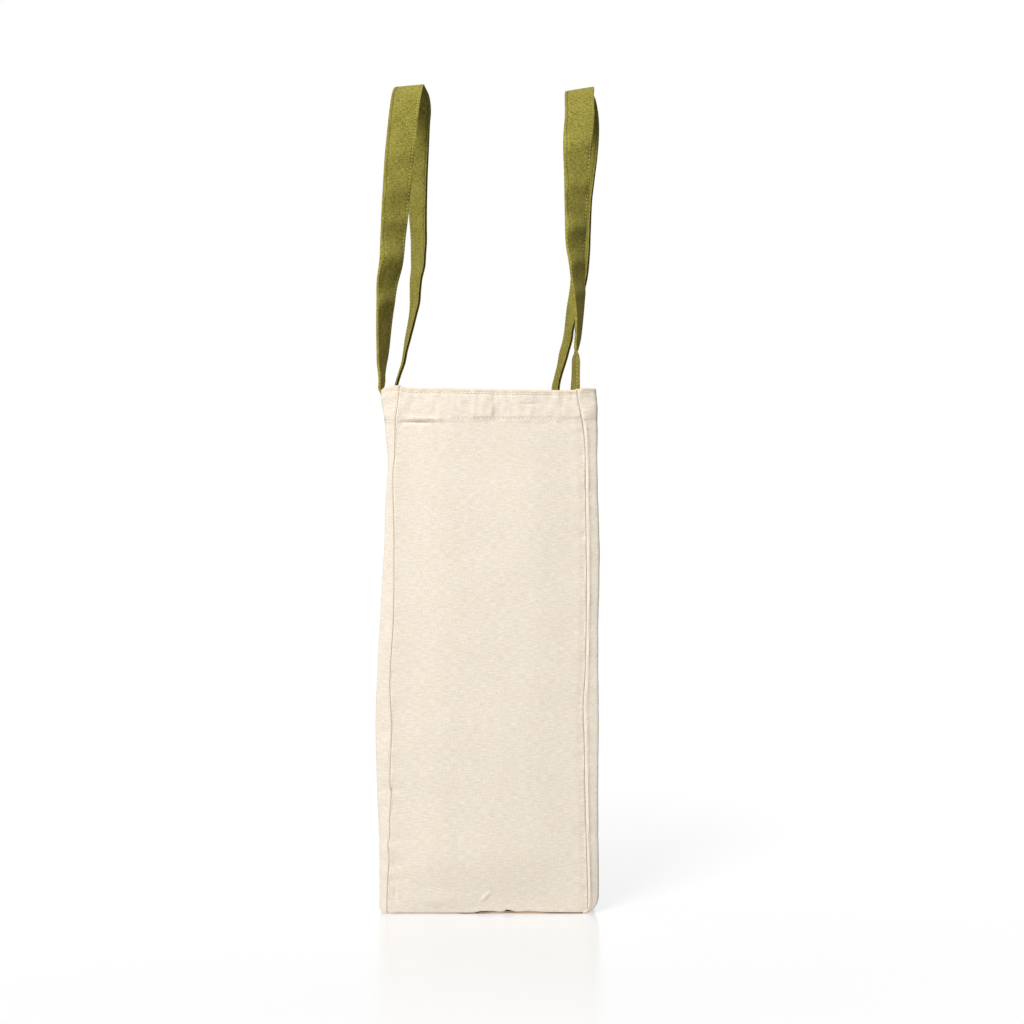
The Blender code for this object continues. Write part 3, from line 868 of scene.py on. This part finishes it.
BACK_NEAR_LEG = [
    (0.000, 0.0717, -11.5), (0.006, 0.0716, -11.0), (0.0176, 0.0720, -8.6), (0.0284, 0.0722, -8.3),
    (0.0324, 0.0720, -6.0), (0.0394, 0.0723, 5.5), (0.0491, 0.0738, 10.0), (0.0674, 0.0747, 15.0),
    (0.0873, 0.0744, 24), (0.107, 0.0732, 29.8), (0.128, 0.0718, 39.0), (0.156, 0.0726, 48.0),
    (0.184, 0.0735, 57.0), (0.2146, 0.0743, 70.0), (0.2388, 0.0765, 77.5), (0.259, 0.0770, 86),
    (0.268, 0.0783, 90),
]
BACK_FAR_LEG = [
    (0.000, 0.0612, 4), (0.0164, 0.0604, 11), (0.0273, 0.0628, 11), (0.0382, 0.0658, 13), (0.048, 0.0680, 16),
    (0.0599, 0.0712, 16), (0.068, 0.0724, 14.5), (0.087, 0.0758, 22), (0.113, 0.0811, 31), (0.136, 0.0826, 36),
    (0.156, 0.0826, 40), (0.183, 0.0825, 47), (0.202, 0.0836, 54), (0.228, 0.0854, 64), (0.249, 0.0853, 75),
    (0.262, 0.0825, 84), (0.268, 0.0783, 90),
]
# Where each strap has been bent before: (height, 1 for the near leg or -1 for the far one, depth, reach)
FRONT_BENDS = [
    (0.237, 1, 0.0017, 0.006), (0.203, 1, 0.0026, 0.007), (0.172, 1, 0.0032, 0.008), (0.146, 1, 0.0021, 0.006),
    (0.116, 1, 0.0042, 0.010), (0.079, 1, 0.0029, 0.007), (0.236, -1, 0.0008, 0.006),
    (0.208, -1, 0.0013, 0.007), (0.160, -1, 0.0010, 0.007), (0.120, -1, 0.0006, 0.007),
]
BACK_BENDS = [
    (0.240, 1, 0.0010, 0.006), (0.210, 1, 0.0033, 0.008), (0.176, 1, 0.0030, 0.007), (0.141, 1, 0.0040, 0.008),
    (0.112, 1, 0.0027, 0.007), (0.086, 1, 0.0018, 0.006), (0.215, -1, 0.0008, 0.006),
    (0.150, -1, 0.0009, 0.007), (0.090, -1, 0.0008, 0.006),
]


def half_section():
    """(across, up) points over one face of the strap: from the groove in its open edge to its folded edge.

    The cloth is folded in from both sides and then double, so one edge is a plain fold and the other is two
    folds that lie together, with a groove between them.
    """
    half = STRAP_WIDTH / 2
    top = STRAP_THICKNESS / 2
    open_edge = [(GROOVE_DEPTH - half, GROOVE_GAP)]
    for step in range(8):
        angle = math.radians(mix(240, 96, step / 7))
        open_edge.append((OPEN_ROUND * (1 + math.cos(angle)) - half, top - OPEN_ROUND * (1 - math.sin(angle))))
    face = []
    for across in (0.0, 0.0030, 0.0060, 0.0085, 0.0094, 0.0098, 0.0101, 0.0103, 0.0105, 0.0108, 0.0112):
        channel = 0.00036 * ridge(across - STRAP_ROW, 0.00042)
        face.append((across, top - STRAP_CROWN * (across / half) ** 2 - channel))
    folded_edge = []
    for step in range(7):
        angle = math.radians(mix(90, 6, step / 6))
        up = top - STRAP_CROWN - FOLD_ROUND * (1 - math.sin(angle))
        folded_edge.append((half - FOLD_ROUND * (1 - math.cos(angle)), up))
    return open_edge + [(-across, up) for across, up in reversed(face[1:])] + face + folded_edge


def strap_line(rise, squareness):
    """The stations of a strap from one sewn end to the other: (height over the rim, x, which leg)."""
    sewn = [mix(STRAP_FOOT, RIM_HEIGHT, i / END_STEPS) - RIM_HEIGHT for i in range(END_STEPS)]
    angles = np.linspace(0, math.pi, ARCH_STEPS + 1)
    arch_x = HANDLE_REACH * np.sign(np.cos(angles)) * np.abs(np.cos(angles)) ** (2 / squareness)
    arch_height = rise * np.sin(angles) ** (2 / squareness)
    lengths = np.concatenate(([0.0], np.cumsum(np.hypot(np.diff(arch_x), np.diff(arch_height)))))
    loop = []
    for length in np.linspace(0, lengths[-1], LOOP_STEPS + 1):
        height = float(np.interp(length, lengths, arch_height))
        x = float(np.interp(length, lengths, arch_x))
        loop.append((height, x, 1 if length < lengths[-1] / 2 else -1))
    down = [(height, HANDLE_REACH, 1) for height in sewn]
    return down + loop + [(height, -HANDLE_REACH, -1) for height in reversed(sewn)]


def strap_frames(legs, side, rise, squareness, tip, bends):
    """(middle, across, out, height, how far its face is bent out) at each station of a strap."""
    line = strap_line(rise, squareness)
    middles = []
    for height, x, leg in line:
        y = through([station[:2] for station in legs[leg]], max(height, 0.0))
        middles.append(Vector((x, y, RIM_HEIGHT + height)))
    frames = []
    for i, (height, x, leg) in enumerate(line):
        run = (middles[min(i + 1, len(line) - 1)] - middles[max(i - 1, 0)]).normalized()
        turn = 0.0
        if height >= 0:
            turn = math.radians(through([station[::2] for station in legs[leg]], height))
        lean = -math.sin(turn)
        across = Vector((leg * math.cos(turn), lean, lean * math.tan(math.radians(tip))))
        across = (across - run * across.dot(run)).normalized()
        bent = sum(depth * ridge(height - at, reach) for at, on, depth, reach in bends if on == leg)
        wavy = 0.0007 * soft_noise(i * 0.0015, side, 0.016, 61)
        bent = -leg * (bent + wavy) * smoothstep(height / 0.02)
        frames.append((middles[i], across, across.cross(run), height, bent))
    return frames


def strap_point(station, side, across, up):
    """A point of a strap: below the rim it lies on the panel, and above it the strap stands free."""
    middle, aside, out, height, bent = station
    free = middle + aside * across + out * (up + bent * (1 - (2 * across / STRAP_WIDTH) ** 4))
    if height > STRAP_FREE:
        return free
    on_panel = panel_distance(free.x, min(free.z, RIM_HEIGHT), side) + STRAP_GAP + STRAP_THICKNESS / 2
    return Vector((free.x, side * on_panel - up, free.z)).lerp(free, smoothstep(height / STRAP_FREE))


def new_piece(name, points, faces, tucked):
    """A new piece from its points and faces, with the attribute tuck at its points."""
    mesh = bpy.data.meshes.new(name)
    mesh.from_pydata(points, [], faces)
    tuck = mesh.attributes.new("tuck", "FLOAT", "POINT")
    tuck.data.foreach_set("value", tucked)
    piece = bpy.data.objects.new(name, mesh)
    bpy.context.scene.collection.objects.link(piece)
    return piece


def make_strap(name, stations, side):
    """One strap as a closed skin: rings of its cross-section along its line, with both ends closed."""
    section = half_section()
    ring = section + [(across, -up) for across, up in reversed(section)]
    count = len(ring)
    points = [strap_point(station, side, across, up) for station in stations for across, up in ring]
    last = len(points) - count
    faces = []
    for first in range(0, last, count):
        for j in range(count):
            k = (j + 1) % count
            faces.append((first + j, first + k, first + count + k, first + count + j))
    faces.append(tuple(range(count - 1, -1, -1)))
    faces.append(tuple(range(last, last + count)))
    # The groove in the open edge gets painted shade through the tuck attribute.
    groove = [float(across < 0.0014 - STRAP_WIDTH / 2 and abs(up) < 0.0009) for across, up in ring]
    strap = new_piece(name, points, faces, groove * len(stations))
    around = run_lengths(ring)
    along = run_lengths([station[0] for station in stations])
    cloth = strap.data.uv_layers.new(name="cloth")
    for corner, loop in zip(cloth.data, strap.data.loops):
        corner.uv = (around[loop.vertex_index % count], along[loop.vertex_index // count] + 2 + side)
    bpy.ops.object.select_all(action="DESELECT")
    strap.select_set(True)
    bpy.context.view_layer.objects.active = strap
    bpy.ops.object.mode_set(mode="EDIT")
    bpy.ops.mesh.select_all(action="SELECT")
    bpy.ops.mesh.normals_make_consistent(inside=False)
    bpy.ops.object.mode_set(mode="OBJECT")
    bpy.ops.object.shade_smooth_by_angle(angle=math.radians(60))
    return strap


def olive_canvas():
    """Olive cotton canvas, of a closer weave than the bag's, with lighter and darker yarns, and painted shade
    in the hollows of its weave and in the groove of its open edge.
    """
    finish = Finish(bpy.data.materials.new("olive_strap"), "Principled BSDF")
    flat = finish.node("ShaderNodeUVMap", {"uv_map": "cloth"}, {})
    height = plain_weave(flat, 0.00062, 0.0006)
    rib = noise_over(flat, (300, 1600))
    upright = noise_over(flat, (1600, 300))
    grain = noise_over(flat, (1400, 1400))
    cloudy = noise_over(flat, (60, 45), 3.0)
    lightness = 0.5 + (rib - 0.5) * 1.8 + (upright - 0.5) * 1.1 + (grain - 0.5) * 1.4
    # The weave's height paints its hollows a little darker, as shade.
    lightness = (lightness + (height - 0.6) * 0.3 + (cloudy - 0.5) * 0.5).held()
    colour = tinted((0.155, 0.129, 0.017, 1), (0.490, 0.440, 0.088, 1), lightness)
    # Painted shade in the groove of the strap's open edge, marked by the tuck attribute.
    tuck = finish.node("ShaderNodeAttribute", {"attribute_name": "tuck"}, {}, out="Fac")
    colour = tinted(colour, (0.055, 0.042, 0.008, 1), tuck)
    relief = height * 0.7 + rib * 0.5 + grain * 0.5
    raised = finish.node("ShaderNodeBump", {}, {"Strength": 0.6, "Distance": 0.0004, "Height": relief})
    feeds = {"Base Color": colour, "Roughness": 0.88, "Specular IOR Level": 0.2, "Normal": raised}
    finish.feed(finish.shader, feeds)
    return finish.owner


olive = olive_canvas()
# Each strap's loop has a rise over the rim, a squareness of its arch, and a tip towards the front in degrees
front_stations = strap_frames({1: FRONT_NEAR_LEG, -1: FRONT_FAR_LEG}, -1, 0.2720, 2.0, 5.5, FRONT_BENDS)
back_stations = strap_frames({1: BACK_NEAR_LEG, -1: BACK_FAR_LEG}, 1, 0.2680, 2.7, 9.5, BACK_BENDS)
straps = (("front", -1, front_stations), ("back", 1, back_stations))
for name, side, stations in straps:
    strap = make_strap(f"{name}_strap", stations, side)
    strap.data.materials.append(olive)
    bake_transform(strap)
    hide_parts(f"{name}_handle", f"{name}_handle_right_end", f"{name}_handle_left_end")


# The thread
# Everything is sewn with a plain lockstitch of spun thread: cream round the rim, and green in the straps and
# in the crossed box that holds down each of their ends. On each face of a strap one row is green and the other
# a darker copy of it, as painted shade, and each stitch's ends in its needle holes get painted shade too.

STITCH_PITCH = 0.0031
STITCH_LENGTH = 0.0030
THREAD_RADIUS = 0.00034
STRAP_CLEAR = 0.0128
GUSSET_SEWN = 0.0715
BOX_HALF = 0.0088
BOX_FOOT = 0.3735
BOX_TOP = 0.4035

bpy.ops.object.select_all(action="DESELECT")
bpy.ops.mesh.primitive_uv_sphere_add(segments=6, ring_count=5, radius=1, location=(0, 0, 0))
pattern = bpy.context.object
stitch_points = np.array([vertex.co[:] for vertex in pattern.data.vertices])
stitch_points = stitch_points[:, [2, 0, 1]] * (STITCH_LENGTH / 2, THREAD_RADIUS, THREAD_RADIUS)
stitch_faces = [list(face.vertices) for face in pattern.data.polygons]
bpy.data.objects.remove(pattern)


def sew(name, stitches, thread):
    """One piece of all the stitches in a group. Each stitch is (middle, way it runs, way out of the cloth).

    The attribute tuck marks the ends of each stitch, where it goes down into its needle hole, for the painted
    shade there.
    """
    points = []
    faces = []
    for middle, run, out in stitches:
        run = run.normalized()
        out = (out - run * out.dot(run)).normalized()
        turned = np.array((run, out.cross(run), out))
        base = len(points)
        points.extend((stitch_points @ turned + np.array(middle)).tolist())
        faces.extend([[base + corner for corner in face] for face in stitch_faces])
    # Painted shade at each stitch's ends, in its needle holes.
    hole_painted_shade = np.abs(stitch_points[:, 0]) > STITCH_LENGTH * 0.40
    sewn = new_piece(name, points, faces, np.tile(hole_painted_shade.astype(np.float32), len(stitches)))
    sewn.data.materials.append(thread)
    sewn.data.polygons.foreach_set("use_smooth", [True] * len(faces))
    sewn.data.update()
    return sewn


def spun_thread(name, colour, darker, hole_painted_shade):
    """Spun sewing thread, a little uneven in colour, with painted shade where it goes down into the cloth."""
    finish = Finish(bpy.data.materials.new(name), "Principled BSDF")
    place_on_piece = finish.node("ShaderNodeTexCoord", {}, {}, out="Object")
    uneven = finish.node("ShaderNodeTexNoise", {}, {"Vector": place_on_piece, "Scale": 400.0})
    tuck = finish.node("ShaderNodeAttribute", {"attribute_name": "tuck"}, {}, out="Fac")
    # The hole colour is painted shade at the stitch's ends.
    colour = tinted(tinted(darker, colour, uneven), hole_painted_shade, tuck)
    finish.feed(finish.shader, {"Base Color": colour, "Roughness": 0.8, "Specular IOR Level": 0.2})
    return finish.owner


def row_along(way, start, end, sunk=0.00005):
    """Stitches along a way from start to end. way(t) gives (place, way out) for t in metres."""
    count = max(round((end - start) / STITCH_PITCH), 1)
    row = []
    for i in range(count):
        t = start + (i + 0.5) * (end - start) / count
        middle, out = way(t)
        run = way(t + 0.0008)[0] - way(t - 0.0008)[0]
        row.append((middle + out * (THREAD_RADIUS * 0.30 - sunk), run, out))
    return row


def on_cloth(place, u, v, step, outward):
    """(place, way out) on a laid cloth at a flat place, from its slopes over a step across it."""
    across = Vector(place(u + step, v)) - Vector(place(u - step, v))
    along = Vector(place(u, v + 0.0006)) - Vector(place(u, v - 0.0006))
    out = across.cross(along).normalized()
    return Vector(place(u, v)), out if out.dot(Vector(outward)) >= 0 else -out


# Each thread's third colour is the painted shade in its needle holes.
cream_thread = spun_thread(
    "cream_thread", (0.97, 0.93, 0.84, 1), (0.90, 0.84, 0.73, 1), (0.64, 0.51, 0.38, 1),
)
green_thread = spun_thread(
    "green_thread", (0.74, 0.66, 0.20, 1), (0.54, 0.48, 0.12, 1), (0.07, 0.06, 0.01, 1),
)
# A darker copy of the green thread, as painted shade on one row of each strap face.
shaded_row_thread = spun_thread(
    "shaded_row_thread", (0.36, 0.31, 0.08, 1), (0.27, 0.23, 0.05, 1), (0.05, 0.04, 0.01, 1),
)

rim_stitches = []
between_straps = [
    (-SEAM_REACH, -HANDLE_REACH - STRAP_CLEAR), (-HANDLE_REACH + STRAP_CLEAR, HANDLE_REACH - STRAP_CLEAR),
    (HANDLE_REACH + STRAP_CLEAR, SEAM_REACH),
]
for row_height in (HEM_TOP_ROW, HEM_LOW_ROW):
    for side in (-1, 1):
        def round_panel(u):
            outward = (math.copysign(max(abs(u) - FLAT_REACH, 0.0) * 300, u), side, 0)
            return on_cloth(body_place, u, side * (WALL_FOOT + row_height - BASE_TURN), 0.0006, outward)

        for start, end in between_straps:
            rim_stitches += row_along(round_panel, start, end)
    for end in (-1, 1):
        def across_gusset(run):
            return on_cloth(gusset_place_at(end), run / GUSSET_SEWN, row_height, 0.008, (end, 0, 0))

        rim_stitches += row_along(across_gusset, -GUSSET_SEWN * 0.985, GUSSET_SEWN * 0.985)
    for w in range(1, 9):
        length = np.interp(w + 1, band_round, round_lengths) - np.interp(w, band_round, round_lengths)

        def round_facing(t):
            middle = Vector(facing_place(w + t / length, row_height))
            run = Vector(facing_place(w + (t + 0.001) / length, row_height)) - middle
            out = Vector((0, 0, 1)).cross(run).normalized()
            return middle + out * FACING_THICKNESS, out

        rim_stitches += row_along(round_facing, 0, length - 0.001)
rim_thread = sew("rim_thread", rim_stitches, cream_thread)
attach(rim_thread, "bag")

for name, side, stations in straps:
    lengths = run_lengths([station[0] for station in stations])
    rows = {"needle": [], "shaded_row": []}
    for face in (-1, 1):
        for row in (-STRAP_ROW, STRAP_ROW):
            def along_strap(t):
                at = float(np.interp(t, lengths, range(len(lengths))))
                i = min(int(at), len(stations) - 2)
                up = face * (STRAP_THICKNESS / 2 - 0.0004)
                first = strap_point(stations[i], side, row, up)
                second = strap_point(stations[i + 1], side, row, up)
                raised = strap_point(stations[i], side, row, up + face * 0.001)
                return first.lerp(second, at - i), (raised - first).normalized()

            stitches = row_along(along_strap, 0.002, lengths[-1] - 0.002, sunk=-0.00010)
            # On each face one row takes the green thread and the other the darker copy, as painted shade.
            rows["needle" if face * row > 0 else "shaded_row"] += stitches
    for kind, thread in (("needle", green_thread), ("shaded_row", shaded_row_thread)):
        strap_thread = sew(f"{name}_strap_{kind}_thread", rows[kind], thread)
        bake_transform(strap_thread)

box_stitches = []
for side in (-1, 1):
    for leg in (-1, 1):
        left = leg * HANDLE_REACH - BOX_HALF
        right = leg * HANDLE_REACH + BOX_HALF
        for first, last in (
            ((left, BOX_FOOT), (right, BOX_FOOT)), ((left, BOX_TOP), (right, BOX_TOP)),
            ((left, BOX_FOOT), (left, BOX_TOP)), ((right, BOX_FOOT), (right, BOX_TOP)),
            ((left, BOX_FOOT), (right, BOX_TOP)), ((left, BOX_TOP), (right, BOX_FOOT)),
        ):
            length = math.dist(first, last)

            def on_end(t):
                x = mix(first[0], last[0], t / length)
                z = mix(first[1], last[1], t / length)
                out = panel_distance(x, z, side) + STRAP_GAP + STRAP_THICKNESS
                return Vector((x, side * out, z)), Vector((0, side, 0))

            box_stitches += row_along(on_end, 0, length, sunk=-0.00008)
box_thread = sew("box_thread", box_stitches, green_thread)
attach(box_thread, "bag")
